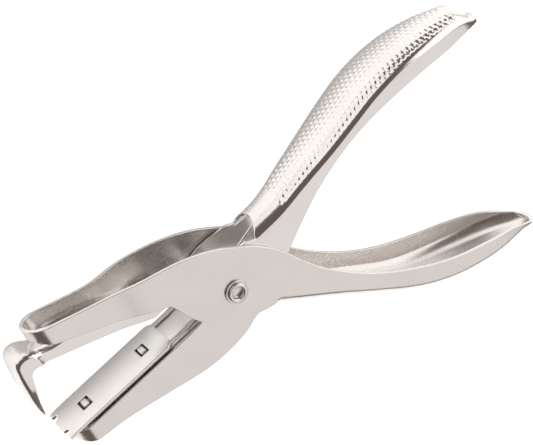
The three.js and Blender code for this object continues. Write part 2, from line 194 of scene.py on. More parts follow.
# ------------------------------------------------------------------ curves
def stations(points):
    """A smooth function of x through the given stations."""
    x, y = np.array(points, float).T
    if x[0] > x[-1]:
        x, y = x[::-1], y[::-1]
    slope = np.empty_like(y)
    slope[1:-1] = (y[2:] - y[:-2]) / (x[2:] - x[:-2])
    slope[0] = (y[1] - y[0]) / (x[1] - x[0])
    slope[-1] = (y[-1] - y[-2]) / (x[-1] - x[-2])

    def at(q):
        q = np.clip(np.asarray(q, float), x[0], x[-1])
        i = np.clip(np.searchsorted(x, q, side="right") - 1, 0, len(x) - 2)
        w = x[i + 1] - x[i]
        t = (q - x[i]) / w
        return (
            y[i] * (1 + 2 * t) * (1 - t) ** 2
            + y[i + 1] * t * t * (3 - 2 * t)
            + w * slope[i] * t * (1 - t) ** 2
            - w * slope[i + 1] * t * t * (1 - t)
        )

    return at


def straight(points):
    """The same with straight runs between the stations."""
    x, y = np.array(sorted(points), float).T
    return lambda q: np.interp(q, x, y)


def slope_of(f, x):
    return (f(x + 0.05) - f(x - 0.05)) / 0.1


def bezier(a, b, c, d, count):
    t = np.linspace(0, 1, count)[:, None]
    a, b, c, d = (np.array(p, float) for p in (a, b, c, d))
    return a * (1 - t) ** 3 + 3 * b * t * (1 - t) ** 2 + 3 * c * t * t * (1 - t) + d * t**3


def spread(start, end, step):
    count = max(2, int(round(abs(end - start) / step)) + 1)
    return np.linspace(start, end, count)


def smooth(t):
    t = np.clip(t, 0, 1)
    return t * t * (3 - 2 * t)


# ------------------------------------------------------------------ sheet metal
def patch(points):
    """Quads over a rectangular array of points."""
    rows, cols = points.shape[:2]
    index = np.arange(rows * cols).reshape(rows, cols)
    faces = np.stack(
        [index[:-1, :-1], index[1:, :-1], index[1:, 1:], index[:-1, 1:]], -1
    ).reshape(-1, 4)
    return points.reshape(-1, 3), faces


def join(parts, facing):
    """One mesh from several patches, with its far half, and shared edges merged."""
    verts, faces, base = [], [], 0
    for v, f in parts:
        normals = vertex_normals(v, f)
        if (normals * facing(v)).sum() < 0:
            f = f[:, ::-1]
        for sign in (1, -1):
            verts.append(v * (1, 1, sign))
            faces.append((f if sign == 1 else f[:, ::-1]) + base)
            base += len(v)
    verts, faces = np.concatenate(verts), np.concatenate(faces)
    _, first, inverse = np.unique(
        np.round(verts, 4) + 0.0, axis=0, return_index=True, return_inverse=True
    )
    verts, faces = verts[first], inverse.reshape(-1)[faces]
    kept = []
    for face in faces:
        loop = [face[i] for i in range(4) if face[i] != face[i - 1]]
        if len(set(loop)) >= 3 and len(set(loop)) == len(loop):
            kept.append(loop)
    return verts, kept


def vertex_normals(verts, faces):
    normals = np.zeros_like(verts)
    for size in (3, 4):
        f = np.array([x for x in faces if len(x) == size])
        if not len(f):
            continue
        n = np.cross(verts[f[:, 2]] - verts[f[:, 0]], verts[f[:, size - 1]] - verts[f[:, 1]])
        for k in range(size):
            np.add.at(normals, f[:, k], n)
    return normals / np.maximum(np.linalg.norm(normals, axis=1), 1e-12)[:, None]


def thicken(verts, faces, thickness, rim=RIM, steps=3):
    """Gives a surface its sheet thickness inwards, and rounds its sheared edges."""
    count = len(verts)
    normals = vertex_normals(verts, faces)
    thickness = np.broadcast_to(np.asarray(thickness, float), (count,))
    # a dict keeps the order in which the edges came
    directed = {(face[i - 1], a): None for face in faces for i, a in enumerate(face)}
    border = [(a, b) for a, b in directed if (b, a) not in directed]
    inward = np.zeros_like(verts)
    for a, b in border:
        along = verts[b] - verts[a]
        along /= max(np.linalg.norm(along), 1e-9)
        for i in (a, b):
            inward[i] += np.cross(normals[i], along)
    size = np.linalg.norm(inward, axis=1)
    edge = np.unique(np.array(border).reshape(-1))
    inward[edge] /= (np.maximum(size[edge] / 2, 0.75) * size[edge])[:, None]
    radius = np.minimum(rim, thickness * 0.45)
    outer, inner = verts.copy(), verts - normals * thickness[:, None]
    outer[edge] += inward[edge] * radius[edge][:, None]
    inner[edge] += inward[edge] * radius[edge][:, None]
    all_verts = [outer, inner]
    rings = [edge]
    base = 2 * count
    profile = []
    for side in (0, 1):
        angles = [math.pi / 2 * k / steps for k in range(1, steps + 1)]
        for angle in angles if side == 0 else angles[::-1]:
            r = radius[edge][:, None]
            sink = r * (1 - math.cos(angle))
            if side:
                sink = thickness[edge][:, None] - sink
            out = r * (1 - math.sin(angle))
            profile.append(verts[edge] + inward[edge] * out - normals[edge] * sink)
    slot_of = np.full(count, -1)
    slot_of[edge] = np.arange(len(edge))
    for ring in profile:
        rings.append(np.arange(len(edge)) + base)
        all_verts.append(ring)
        base += len(edge)
    rings.append(edge + count)
    out_faces = [list(f) for f in faces] + [[i + count for i in f[::-1]] for f in faces]
    for a, b in border:
        i, j = slot_of[a], slot_of[b]
        for above, below in zip(rings[:-1], rings[1:]):
            out_faces.append([above[j], above[i], below[i], below[j]])
    return np.concatenate(all_verts), out_faces


def add_mesh(name, verts, faces, body, material, slot, replaces=(), flat=40):
    """A piece in the row frame that rides on a body."""
    mesh = bpy.data.meshes.new(name)
    world = np.asarray(verts) * MM + PIVOT
    mesh.from_pydata(world.tolist(), [], [list(map(int, f)) for f in faces])
    mesh.update()
    mesh.polygons.foreach_set("use_smooth", [True] * len(mesh.polygons))
    mesh.set_sharp_from_angle(angle=math.radians(flat))
    mesh.materials.append(material)
    obj = bpy.data.objects.new(name, mesh)
    bpy.context.scene.collection.objects.link(obj)
    if body:
        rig.ride(obj, body)
    if slot:
        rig.slot(obj, slot)
    if replaces:
        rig.replaces(obj, *replaces)
    return obj


# ------------------------------------------------------------------ folded handles
class Channel:
    """Half a folded channel: web from mid-width, rounded corner, wall down to its open edge."""

    def __init__(self, up, half, back, edge, tip, web_from, crown):
        self.up, self.half, self.back, self.edge = up, half, back, edge
        self.tip, self.web_from, self.crown = tip, web_from, crown

    def half_at(self, x):
        close = np.clip((x - (self.tip - TIP_ROUND)) / TIP_ROUND, 0, 1)
        return self.half(x) * np.sqrt(np.maximum(1 - close**2, 0))

    def back_at(self, x):
        # in front of the web the corner lifts off the plates' outline
        return self.back(x) + self.up * 0.8 * np.maximum(self.web_from - x, 0)

    def corner(self, x):
        """Radius across, radius along y, and y where the wall begins."""
        wide = HANDLE_CORNER + 1.2 * smooth((x - self.web_from - 4) / 20)
        across = np.minimum(wide, 0.94 * self.half_at(x))
        slope = slope_of(self.back, np.maximum(x, self.web_from))
        depth = np.abs(self.back_at(x) - self.edge(x))
        down = np.minimum(HANDLE_CORNER * np.hypot(1, slope), 0.86 * depth)
        return across, down, self.back_at(x) - self.up * down

    def length(self, x, y):
        """Distance along the section from mid-width to height y on the corner or wall."""
        across, down, start = self.corner(x)
        rise = self.up * (y - start)
        turn = np.arcsin(np.clip(rise / down, 0, 1)) / (math.pi / 2)
        flat = self.half_at(x) - across
        return flat + math.pi / 2 * across * (1 - turn) + np.maximum(-rise, 0)

    def point(self, x, s):
        across, down, start = self.corner(x)
        half = self.half_at(x)
        flat = half - across
        bend = math.pi / 2 * across
        phi = math.pi / 2 * (1 - np.clip((s - flat) / np.maximum(bend, 1e-9), 0, 1))
        z = np.where(s < flat, s, half - across * (1 - np.cos(phi)))
        crown = self.crown * np.clip(z / np.maximum(half, 1e-6), 0, 1) ** 2 * np.sin(phi)
        y = start + self.up * (down * np.sin(phi) - np.maximum(s - flat - bend, 0) - crown)
        return np.stack([np.broadcast_to(x, np.shape(y)), y, z], -1)


upper = Channel(
    up=1,
    half=stations([(11, LEVER_HALF), (21, LEVER_HALF), (34, 8.6), (47, 10.1), (60, 10.83),
                   (74, 10.7), (87, 9.2), (97, 6.7), (102, 4.9), (UPPER_TIP_X, 3.4)]),
    back=stations([(11, 12.0), (21, 13.4), (31, 17.1), (42, 20.9), (52, 24.5), (61, 27.5),
                   (70, 29.3), (79, 29.9), (88, 29.3), (96, 27.7), (101, 25.5),
                   (UPPER_TIP_X, 21.9)]),
    edge=stations([(11, -8.4), (15.5, -5.2), (19.6, -1.4), (26.9, 4.3), (33.8, 9.3),
                   (40.3, 13.1), (46.4, 16.0), (53.3, 18.4), (61.4, 20.1), (71, 21.1),
                   (81, 21.2), (90, 20.6), (98, 20.1), (UPPER_TIP_X, 19.2)]),
    tip=UPPER_TIP_X,
    web_from=EAR_X,
    crown=1.5,
)
lower = Channel(
    up=-1,
    half=stations([(PIVOT_WEB_X, FRAME_HALF), (24, FRAME_HALF), (34, 9.1), (46, 9.9), (58, 10.8),
                   (68, 10.7), (78, 9.5), (85.5, 7.4), (90.5, 5.4), (LOWER_TIP_X, 3.6)]),
    back=stations([(PIVOT_WEB_X, -15.0), (18, -21.1), (27, -27.6), (36, -34.1), (45, -40.2),
                   (52, -43.9), (60, -46.9), (68.7, -49.2), (76, -50.7), (83, -51.8),
                   (89, -53.0), (LOWER_TIP_X, -53.9)]),
    edge=stations([(PIVOT_WEB_X, 9.6), (12.4, 7.1), (16.9, 1.8), (21.1, -5.5), (24.7, -11.4),
                   (30.3, -17.9), (36.3, -23.5), (43, -28.5), (52, -33.7), (62, -38.0),
                   (73, -41.6), (83, -45.2), (90, -49.4), (LOWER_TIP_X, -51.3)]),
    tip=LOWER_TIP_X,
    web_from=PIVOT_WEB_X,
    crown=1.5,
)

SKIN_STEP = 0.25  # across the handle
SKIN_LINES = 44  # lines at that step from mid-width, over the web and the corner
WALL_LINES = 10
LINES = SKIN_LINES + WALL_LINES + 1
GRIP_STEP = 0.31  # along the handle


def section_lines(total, start=0.0):
    """Distances along the section: fine over the grip's skin, then even down the wall."""
    skin = SKIN_STEP * np.arange(SKIN_LINES + 1)
    room = total - start
    skin = skin * min(1.0, (room - 0.3 * WALL_LINES * min(1, room / 12)) / skin[-1])
    wall = skin[-1] + (room - skin[-1]) * np.linspace(0, 1, WALL_LINES + 1)[1:]
    return start + np.concatenate([skin, wall])


def handle_patch(channel, cut, knurl_from, knurl_to):
    """The handle behind its web's front edge; cut(s) is how far that edge runs back."""
    start, tip = channel.web_from, channel.tip
    fine = np.linspace(0, tip, 4000)
    run = np.hypot(np.gradient(fine), np.gradient(channel.back(fine))).cumsum()
    first = np.interp(start + 0.7, fine, run)
    last = np.interp(tip - TIP_ROUND, fine, run)
    along = first + GRIP_STEP * np.arange(int((last - first) / GRIP_STEP))
    xs = np.interp(along, run, fine)
    t = np.linspace(0, 1, 22)[1:]
    xs = np.concatenate([[start], xs, xs[-1] + (tip - xs[-1]) * np.sin(t * math.pi / 2)])
    columns = []
    for x in xs:
        total = float(channel.length(x, channel.edge(x)))
        s = section_lines(total)
        shift = cut(s) * (1 - smooth((x - start) / CUT_FADE))
        q = x + shift
        columns.append(np.array([channel.point(a, b) for a, b in zip(q, s)])
                       if x < start + CUT_FADE else channel.point(x, s))
    points = np.array(columns)
    points[-1, :, 2] = 0
    # diamonds pressed into the back, fading out over the corners and at both ends
    u = (np.interp(points[..., 0], fine, run) - first) / KNURL_LONG
    v = np.array([section_lines(float(channel.length(x, channel.edge(x)))) for x in xs])
    v /= KNURL_WIDE
    wave = lambda a: np.abs((a % 1.0) * 2 - 1)
    height = 1 - np.maximum(wave(u + v), wave(u - v))
    across = channel.corner(xs)[0]
    reach = (channel.half_at(xs) - across * 0.02)[:, None]
    fade = smooth((points[..., 0] - knurl_from) / 2.5) * smooth((knurl_to - points[..., 0]) / 3)
    side_fade = 1.3
    fade *= 1 - smooth((v * KNURL_WIDE - reach + side_fade) / side_fade)
    return points, KNURL_DEPTH * (1 - height) * fade


def sideways(verts):
    """The side that a bent sheet's outer face looks to: away from mid-width."""
    return verts * (0, 0, 1)


def sheet(name, parts, thickness, body, material, slot, replaces=(), rim=RIM, sink=None,
          facing=sideways):
    """A piece of bent sheet. sink, per point, presses the outer face in after thickening."""
    verts, faces = join([patch(p) for p in parts], facing)
    thick = thickness(verts) if callable(thickness) else thickness
    normals = vertex_normals(verts, faces)
    body_verts, body_faces = thicken(verts, faces, thick, rim)
    if sink is not None:
        depth = {}
        for p, d in sink:
            keep = d > 1e-4
            for q, k in zip(np.round(p[keep], 4), d[keep]):
                depth[(q[0], q[1], q[2])] = k
                depth[(q[0], q[1], -q[2] + 0.0)] = k
        keys = np.round(verts, 4) + 0.0
        for i, key in enumerate(map(tuple, keys)):
            if key in depth:
                body_verts[i] -= normals[i] * depth[key]
    return add_mesh(name, body_verts, body_faces, body, material, slot, replaces)


def lines_between(low, high, count, margin_low, margin_high):
    """Heights of a column, its outermost cells kept wide enough for the rounded edges."""
    room = high - low
    squeeze = min(1.0, 0.7 * room / (margin_low + margin_high))
    a, b = low + margin_low * squeeze, high - margin_high * squeeze
    return np.concatenate([[low], np.linspace(a, b, count - 2), [high]])


def margin(f, x):
    return 0.34 * math.hypot(1, float(np.clip(slope_of(f, x), -6, 6)))


# ------------------------------------------------------------------ materials
def nickel(name, color, rough, brush=(1, 1, 1), depth=0.25, wear=0.5, tint=(0.62, 0.58, 0.54)):
    """Plated steel: fine directional grain, cloudy polish, handling marks, rubbed edges."""
    material = bpy.data.materials.new(name)
    material.use_nodes = True
    nodes, links = material.node_tree.nodes, material.node_tree.links
    shader = nodes["Principled BSDF"]
    shader.inputs["Metallic"].default_value = 1.0
    shader.inputs["Anisotropic"].default_value = 0.25
    coords = nodes.new("ShaderNodeTexCoord")

    def noise(scale, detail, stretch=(1, 1, 1), roughness=0.55):
        mapping = nodes.new("ShaderNodeMapping")
        mapping.inputs["Scale"].default_value = stretch
        links.new(coords.outputs["Object"], mapping.inputs["Vector"])
        node = nodes.new("ShaderNodeTexNoise")
        node.inputs["Scale"].default_value = scale
        node.inputs["Detail"].default_value = detail
        node.inputs["Roughness"].default_value = roughness
        links.new(mapping.outputs["Vector"], node.inputs["Vector"])
        return node.outputs["Fac"]

    def ramp(source, low, high, a, b):
        node = nodes.new("ShaderNodeMapRange")
        node.inputs["From Min"].default_value = low
        node.inputs["From Max"].default_value = high
        node.inputs["To Min"].default_value = a
        node.inputs["To Max"].default_value = b
        links.new(source, node.inputs["Value"])
        return node.outputs["Result"]

    def mix(factor, a, b):
        node = nodes.new("ShaderNodeMix")
        node.data_type = "RGBA"
        links.new(factor, node.inputs["Factor"])
        for value, socket in ((a, node.inputs[6]), (b, node.inputs[7])):
            if isinstance(value, tuple):
                socket.default_value = (*value, 1)
            else:
                links.new(value, socket)
        return node.outputs[2]

    def add(a, b, operation="ADD"):
        node = nodes.new("ShaderNodeMath")
        node.operation = operation
        for value, socket in zip((a, b), node.inputs):
            if isinstance(value, (int, float)):
                socket.default_value = value
            else:
                links.new(value, socket)
        return node.outputs[0]

    cloud = noise(70, 4)
    grain = noise(2600, 3, brush)
    fine = noise(9000, 2)
    marks = noise(300, 6, (1, 1.6, 1), 0.65)
    edge = ramp(nodes.new("ShaderNodeNewGeometry").outputs["Pointiness"], 0.52, 0.60, 0.0, wear)
    dull = tuple(c * t for c, t in zip(color, (0.97, 0.965, 0.958)))
    base = mix(ramp(cloud, 0.35, 0.65, 0.0, 1.0), color, dull)
    base = mix(ramp(marks, 0.62, 0.85, 0.0, 0.10), base, tint)
    bright = tuple(min(1.0, c * 1.06) for c in color)
    base = mix(edge, base, bright)
    links.new(base, shader.inputs["Base Color"])
    roughness = add(ramp(cloud, 0.3, 0.7, rough * 0.9, rough * 1.1),
                    ramp(grain, 0.3, 0.7, -0.02, 0.02))
    roughness = add(roughness, ramp(marks, 0.62, 0.85, 0.0, 0.03))
    roughness = add(roughness, add(edge, -0.08, "MULTIPLY"))
    links.new(roughness, shader.inputs["Roughness"])
    bump = nodes.new("ShaderNodeBump")
    bump.inputs["Strength"].default_value = depth
    bump.inputs["Distance"].default_value = 0.000012
    links.new(add(add(grain, fine), add(cloud, 2.0, "MULTIPLY")), bump.inputs["Height"])
    links.new(bump.outputs["Normal"], shader.inputs["Normal"])
    return material


SATIN = nickel("satin_nickel", (0.80, 0.775, 0.755), 0.26, (0.3, 1, 1), depth=0.12)
BRIGHT = nickel("bright_nickel", (0.85, 0.84, 0.83), 0.16, (1, 0.2, 1), depth=0.15)
SPRING = nickel("spring_steel", (0.78, 0.77, 0.76), 0.2, (1, 1, 0.3), depth=0.2)

# ------------------------------------------------------------------ frame: jaws and lower handle
frame_top = stations([(PIVOT_WEB_X, 9.6), (7.4, 11.2), (2.2, 14.6), (-3.4, 17.3), (-9.5, 19.4),
                      (-15.5, 20.8), (-24, 22.2), (-33.3, 23.5), (-41, 25.2), (-48, 26.9),
                      (-55.9, 28.6)])
throat = stations([THROAT, (-15.4, 3.0), (-16.9, 7.0), (-18.0, 9.6)])
jaw_edge = stations([(-18.0, 9.6), (-27.7, 13.2), (-37.3, 16.8), (-47, 20.4), (-51, 22.1),
                     (-53.4, 23.7), (-55.9, 25.0)])
cheek_edge = straight([THROAT, (-17.8, -1.9), (-57.5, -5.85), (-60.8, -6.1)])


def upper_jaw_edge(x):
    return np.where(np.asarray(x) > -18.0, throat(x), jaw_edge(x))


def jaw_path(nose_x, nose_half, nose_radius, step_from, step_to, half, start):
    """Plan of one plate from the throat forward and half-way round the nose: [x, z]."""
    runs = [np.stack([x := spread(start, step_from, 0.3), x * 0 + half], -1)]
    if nose_half < half:
        mid = (step_from + step_to) / 2
        runs.append(bezier((step_from, half), (mid, half), (mid, nose_half),
                           (step_to, nose_half), 60))
    else:
        step_to = step_from
    runs.append(np.stack([x := spread(step_to, nose_x + nose_radius, 0.5),
                          x * 0 + nose_half], -1))
    r = nose_radius
    runs.append(bezier((nose_x + r, nose_half), (nose_x + 0.45 * r, nose_half),
                       (nose_x, nose_half - 0.55 * r), (nose_x, nose_half - r), 22))
    if nose_half - r > 0.02:
        z = spread(nose_half - r, 0, 0.4)
        runs.append(np.stack([z * 0 + nose_x, z], -1))
    path = np.concatenate([runs[0]] + [r[1:] for r in runs[1:]])
    path[-1, 1] = 0
    return path


# the sheet of both shells runs on under the rivet's washers: the rivet's holes are only in the CAD
def frame_shell():
    web_edge = 33  # the line of the handle's skin where its web's front edge ends
    part = 47  # the line that runs into the throat
    web_half = web_edge * SKIN_STEP
    skin, sink = handle_patch(lower, lambda s: 2.2 * np.clip(1 - (s / web_half) ** 2, 0, 1), 24, 86)
    bottom_end = float(lower.point(PIVOT_WEB_X, web_half)[1])
    bottom = stations([(PIVOT_WEB_X, bottom_end), (5.3, -11.58), (2, -11.0), (-3.5, -13.3),
                       (-10.5, -14.7), (-18.5, -15.0), (-31.4, -13.2), (-44.5, -11.3),
                       (-52, -11.0), (-56.2, -10.7), (-59.2, -9.2), (-60.8, -7.0)])

    def halves(x):
        """Heights of the lower and the upper part of a column in front of the handle."""
        edge, split = bottom(x), (THROAT[1] if x >= THROAT[0] else cheek_edge(x))
        low = lines_between(float(edge), float(split), part - web_edge + 1, margin(bottom, x), 0.4)
        base = THROAT[1] if x >= THROAT[0] else float(upper_jaw_edge(x))
        grow = 0.4 if x >= THROAT[0] - 0.01 else margin(upper_jaw_edge, x)
        up = lines_between(base, float(frame_top(x)), LINES - part, grow, margin(frame_top, x))
        return low, up

    handle_s = section_lines(float(lower.length(PIVOT_WEB_X, lower.edge(PIVOT_WEB_X))))[web_edge:]
    handle_f = (handle_s - handle_s[0]) / (handle_s[-1] - handle_s[0])
    body = []
    for x in spread(PIVOT_WEB_X, THROAT[0], 0.45):
        low, up = halves(x)
        y = np.concatenate([low, up[1:]])
        s = lower.length(x, y)
        blend = smooth((PIVOT_WEB_X - x) / 9)
        total = lower.length(x, frame_top(x)) - lower.length(x, bottom(x))
        even = lower.length(x, bottom(x)) + total * handle_f
        body.append(lower.point(x, even * (1 - blend) + s * blend))
    body = np.array(body)
    body[0] = skin[0, web_edge:]

    jaws = []
    for path, upper_part in (
        (jaw_path(NOSE_X, NOSE_HALF, 5.9, -17, -36, FRAME_HALF, THROAT[0]), True),
        (jaw_path(CHEEK_NOSE_X, FRAME_HALF, 5.6, -17, -17, FRAME_HALF, THROAT[0]), False),
    ):
        columns = [[(x, y, z) for y in halves(x)[upper_part]] for x, z in path]
        jaws.append(np.array(columns))
    split = part - web_edge
    jaws[0][0] = body[-1, split:]
    jaws[1][0] = body[-1, : split + 1]
    return sheet("frame_shell_sheet", [skin[::-1], body, *jaws], SHEET, "frame", SATIN,
                 "satin_nickel", ["frame_shell"], sink=[(skin, sink)])


frame_shell()


# ------------------------------------------------------------------ lever: jaw walls and handle
def wall_top(x):
    return 0.2 + 0.1 * x


def lever_shell():
    ear_line = 28  # the line of the handle's skin that runs into the ear over the pivot
    ear_s = ear_line * SKIN_STEP

    def root_cut(s):
        """How far the round opening over the pivot runs back into the web."""
        across = float(upper.corner(EAR_X)[0])
        flat = LEVER_HALF - across
        z = np.where(s < flat, s, flat + across * np.sin(np.clip((s - flat) / across, 0, 1.5)))
        radius, corner_z = 8.4, 6.36
        end = math.sqrt(radius**2 - corner_z**2)
        cut = np.sqrt(np.maximum(radius**2 - z**2, 0)) - end
        return np.clip(cut * 1.04, 0, 3.0) * (s < ear_s)

    skin, sink = handle_patch(upper, root_cut, 23.5, 97.5)
    ear_end = float(upper.point(EAR_X, ear_s)[1])
    ear = stations([(EAR_X, ear_end), (10, 10.25), (7.5, 10.25), (3.5, 10.4), (-0.5, 9.9),
                    (-4.6, 8.2), (-7.6, 5.2), (-8.7, 3.0), (-9.3, 1.2), (-10.0, -0.35),
                    (WALL_FRONT_X, wall_top(WALL_FRONT_X))])
    bottom = stations([(EAR_X, upper.edge(EAR_X)), (11, -8.4), (8, -9.5), (4, -10.2),
                       (-4, -10.9), (-14, -12.3), (-24, -12.0), (-40, -9.9),
                       (LEVER_NOSE_X, -8.0)])
    handle_s = section_lines(float(upper.length(EAR_X, upper.edge(EAR_X))))[ear_line:]
    handle_f = (handle_s - handle_s[0]) / (handle_s[-1] - handle_s[0])
    count = LINES - ear_line
    body = []
    xs = np.concatenate([spread(EAR_X, -6.0, 0.45), spread(-6.0, WALL_FRONT_X, 0.18)[1:]])
    for x in xs:
        y = lines_between(float(bottom(x)), float(ear(x)), count,
                          margin(bottom, x), margin(ear, x))[::-1]
        blend = smooth((EAR_X - x) / 9)
        s = upper.length(x, y)
        start, end = upper.length(x, ear(x)), upper.length(x, bottom(x))
        body.append(upper.point(x, (start + (end - start) * handle_f) * (1 - blend) + s * blend))
    body = np.array(body)
    body[0] = skin[0, ear_line:]
    path = jaw_path(LEVER_NOSE_X, LEVER_HALF, 4.6, -17, -17, LEVER_HALF, WALL_FRONT_X)
    walls = np.array([
        [(x, y, z) for y in lines_between(float(bottom(x)), wall_top(x), count,
                                          margin(bottom, x), 0.4)[::-1]]
        for x, z in path
    ])
    walls[0] = body[-1]
    return sheet("lever_shell_sheet", [skin, body[::-1], walls[::-1]], SHEET, "lever", BRIGHT,
                 "bright_nickel", ["lever_shell"], sink=[(skin, sink)])


lever_shell()


# ------------------------------------------------------------------ claw
def resample(points, count):
    points = np.array(points, float)
    run = np.concatenate([[0], np.cumsum(np.linalg.norm(np.diff(points, axis=0), axis=1))])
    at = np.linspace(0, run[-1], count)
    return np.stack([np.interp(at, run, points[:, k]) for k in range(points.shape[1])], -1)


def claw():
    """An arm with two flanges that leaves the upper jaw's nose and turns down into the blade."""
    top = stations([(-15, 12.2), (-22, 13.6), (-31.5, 17.2), (-40, 19.8), (-46, 21.0), (-51, 21.4),
                    (-55, 22.6)])
    under = stations([(-15, 9.4), (-20.6, 9.0), (-22.6, 8.45), (-25, 8.9), (-35, 11.95),
                      (-45, 15.0), (-56.6, 18.55)])
    blade_back = stations([(1.4, 62.9), (5.0, 63.7), (11.0, 64.1), (17.0, 63.7), (21.6, 62.9)])

    xs = spread(-15, -54.5, 0.4)
    outer = [np.stack([xs, top(xs)], -1)]
    inner = [np.stack([xs, under(xs)], -1)]
    bend_out = np.concatenate([
        bezier((-54.5, top(-54.5)), (-56.4, 23.3), (-57.4, 23.9), (-58.6, 24.2), 10),
        bezier((-58.6, 24.2), (-60.8, 24.62), (-62.2, 23.9), (-62.9, 21.6), 26)[1:],
    ])
    bend_in = np.concatenate([
        bezier((-54.5, under(-54.5)), (-55.6, 18.25), (-56.3, 18.5), (-56.9, 18.6), 10),
        bezier((-56.9, 18.6), (-58.8, 18.9), (-59.5, 18.3), (-59.95, 17.3), 26)[1:],
    ])
    outer.append(resample(bend_out, 44)[1:])
    inner.append(resample(bend_in, 44)[1:])
    tips = np.linspace(0, 1, 60)[1:]
    y_out = 21.6 + (1.4 - 21.6) * tips
    outer.append(np.stack([-blade_back(y_out), y_out], -1))
    y_in = 17.3 + (1.7 - 17.3) * tips
    inner.append(np.stack([-np.sqrt(CLAW_RADIUS**2 - y_in**2), y_in], -1))
    outer, inner = np.concatenate(outer), np.concatenate(inner)

    arm_half = stations([(-15, LEVER_HALF), (-17, LEVER_HALF), (-21, 6.6), (-25.5, 5.8), (-30, 5.0),
                         (-34, CLAW_HALF), (-54.2, CLAW_HALF), (-55.4, 5.0), (-56.8, BLADE_HALF),
                         (-70, BLADE_HALF)])
    taper = stations([(1.3, 0.42), (4.0, 1.45), (8.0, 2.75), (12.0, 3.95), (15.5, 4.85),
                      (19.0, 5.4), (21.5, BLADE_HALF), (26, BLADE_HALF)])
    columns = []
    thickness = []
    for p, q in zip(outer, inner):
        half = float(min(arm_half(p[0]), taper(p[1]) if p[0] < -58.6 else 99))
        depth = float(np.linalg.norm(q - p))
        down = (q - p) / depth
        across = min(1.9, 0.45 * half)
        drop = min(2.2, 0.5 * depth)
        column = []
        for k in range(9):  # web
            z = (half - across) * k / 8
            column.append((*(p + down * 0.12 * (z / max(half, 1e-6)) ** 2), z))
        for k in range(1, 7):  # folded corner
            phi = math.pi / 2 * k / 6
            at = p + down * (0.12 * (1 - k / 6) + drop * (1 - math.cos(phi)))
            column.append((*at, half - across + across * math.sin(phi)))
        for k in range(1, 5):  # flange
            column.append((*(p + down * (drop + (depth - drop) * k / 4)), half))
        columns.append(column)
        thickness.append(min(SHEET, 0.42 * depth, 0.8 * half + 0.05))
    points = np.array(columns)
    flat_points = points.reshape(-1, 3)
    values = np.repeat(thickness, points.shape[1])

    def thick(verts):
        out = np.empty(len(verts))
        mirrored = np.abs(verts[:, 2])
        for i, v in enumerate(verts):
            near = np.argmin((flat_points[:, 0] - v[0]) ** 2 + (flat_points[:, 1] - v[1]) ** 2
                             + (flat_points[:, 2] - mirrored[i]) ** 2)
            out[i] = values[near]
        return out

    return sheet("claw_sheet", [points[::-1]], thick, "frame", BRIGHT, "bright_nickel", ["claw"])


claw()


# ------------------------------------------------------------------ lifting plate
LUG_SEATS = [(-30.3, 2.9), (-51.8, 3.4)]  # centre and length of its two windows
LUG_WINDOW = 4.6
PLATE_BACK_X = -23.0


def plate_top(x):
    x = np.asarray(x, float)
    droop = np.clip((-57.0 - x) / 7.0, 0, 1) ** 1.7 * 0.55
    return 1.4 + 0.1 * x - droop


def lift_plate():
    front = -math.sqrt(PLATE_TIP_RADIUS**2 - 5.3**2)
    corner = 2.4
    half_outline = np.concatenate([
        [(0, front - 0.35), (2.35, front - 0.35), (2.75, front - 0.28), (3.02, front - 0.1)],
        bezier((3.1, front - 0.02), (3.4, front + 0.9), (3.6, front + 1.5), (4.5, front + 1.5), 10),
        bezier((4.5, front + 1.5), (5.3, front + 1.5), (5.4, front + 0.9), (5.68, front + 0.02),
               10)[1:],
        [(5.75, front), (7.0, front), (PLATE_HALF, front + 0.15)],
    ])
    across = np.unique(np.round(np.concatenate([
        spread(0, 2.3, 0.5), spread(2.3, 3.0, 0.25), spread(3.0, 5.75, 0.16),
        spread(5.75, 6.9, 0.4),
        PLATE_HALF - corner * (1 - np.sin(np.linspace(0.25, math.pi / 2, 9))) * 0.9,
        [PLATE_HALF - 0.36, PLATE_HALF],
    ]), 3))
    across = across[np.concatenate([[True], np.diff(across) > 0.07])]
    front_of = lambda z: np.interp(z, half_outline[:, 0], half_outline[:, 1])

    def back_of(z):
        over = np.clip((z - (PLATE_HALF - corner)) / corner, 0, 0.985)
        return PLATE_BACK_X - corner * (1 - np.sqrt(1 - over**2))

    cuts = []
    for x, length in sorted(LUG_SEATS):
        cuts += [x - length / 2, x + length / 2]
    blocks = [(None, -57.0, 9), (-57.0, cuts[0], 5), (cuts[0], cuts[1], 5), (cuts[1], cuts[2], 12),
              (cuts[2], cuts[3], 5), (cuts[3], None, 6)]
    parts = []
    window = np.where(np.isclose(across, LUG_WINDOW / 2))[0][0]
    for number, (a, b, count) in enumerate(blocks):
        t = np.linspace(0, 1, count)
        rows = []
        for z in across:
            x0 = front_of(z) if a is None else a
            x1 = back_of(z) if b is None else b
            x = x0 + (x1 - x0) * t
            rows.append(np.stack([x, plate_top(x), x * 0 + z], -1))
        rows = np.array(rows)
        parts.append(rows if number not in (2, 4) else rows[window:])
    return sheet("lift_plate_sheet", parts, PLATE_THICK, "lever", BRIGHT, "bright_nickel",
                 ["lift_plate"], rim=0.17, facing=lambda verts: verts * 0 + (0, 1, 0))


lift_plate()


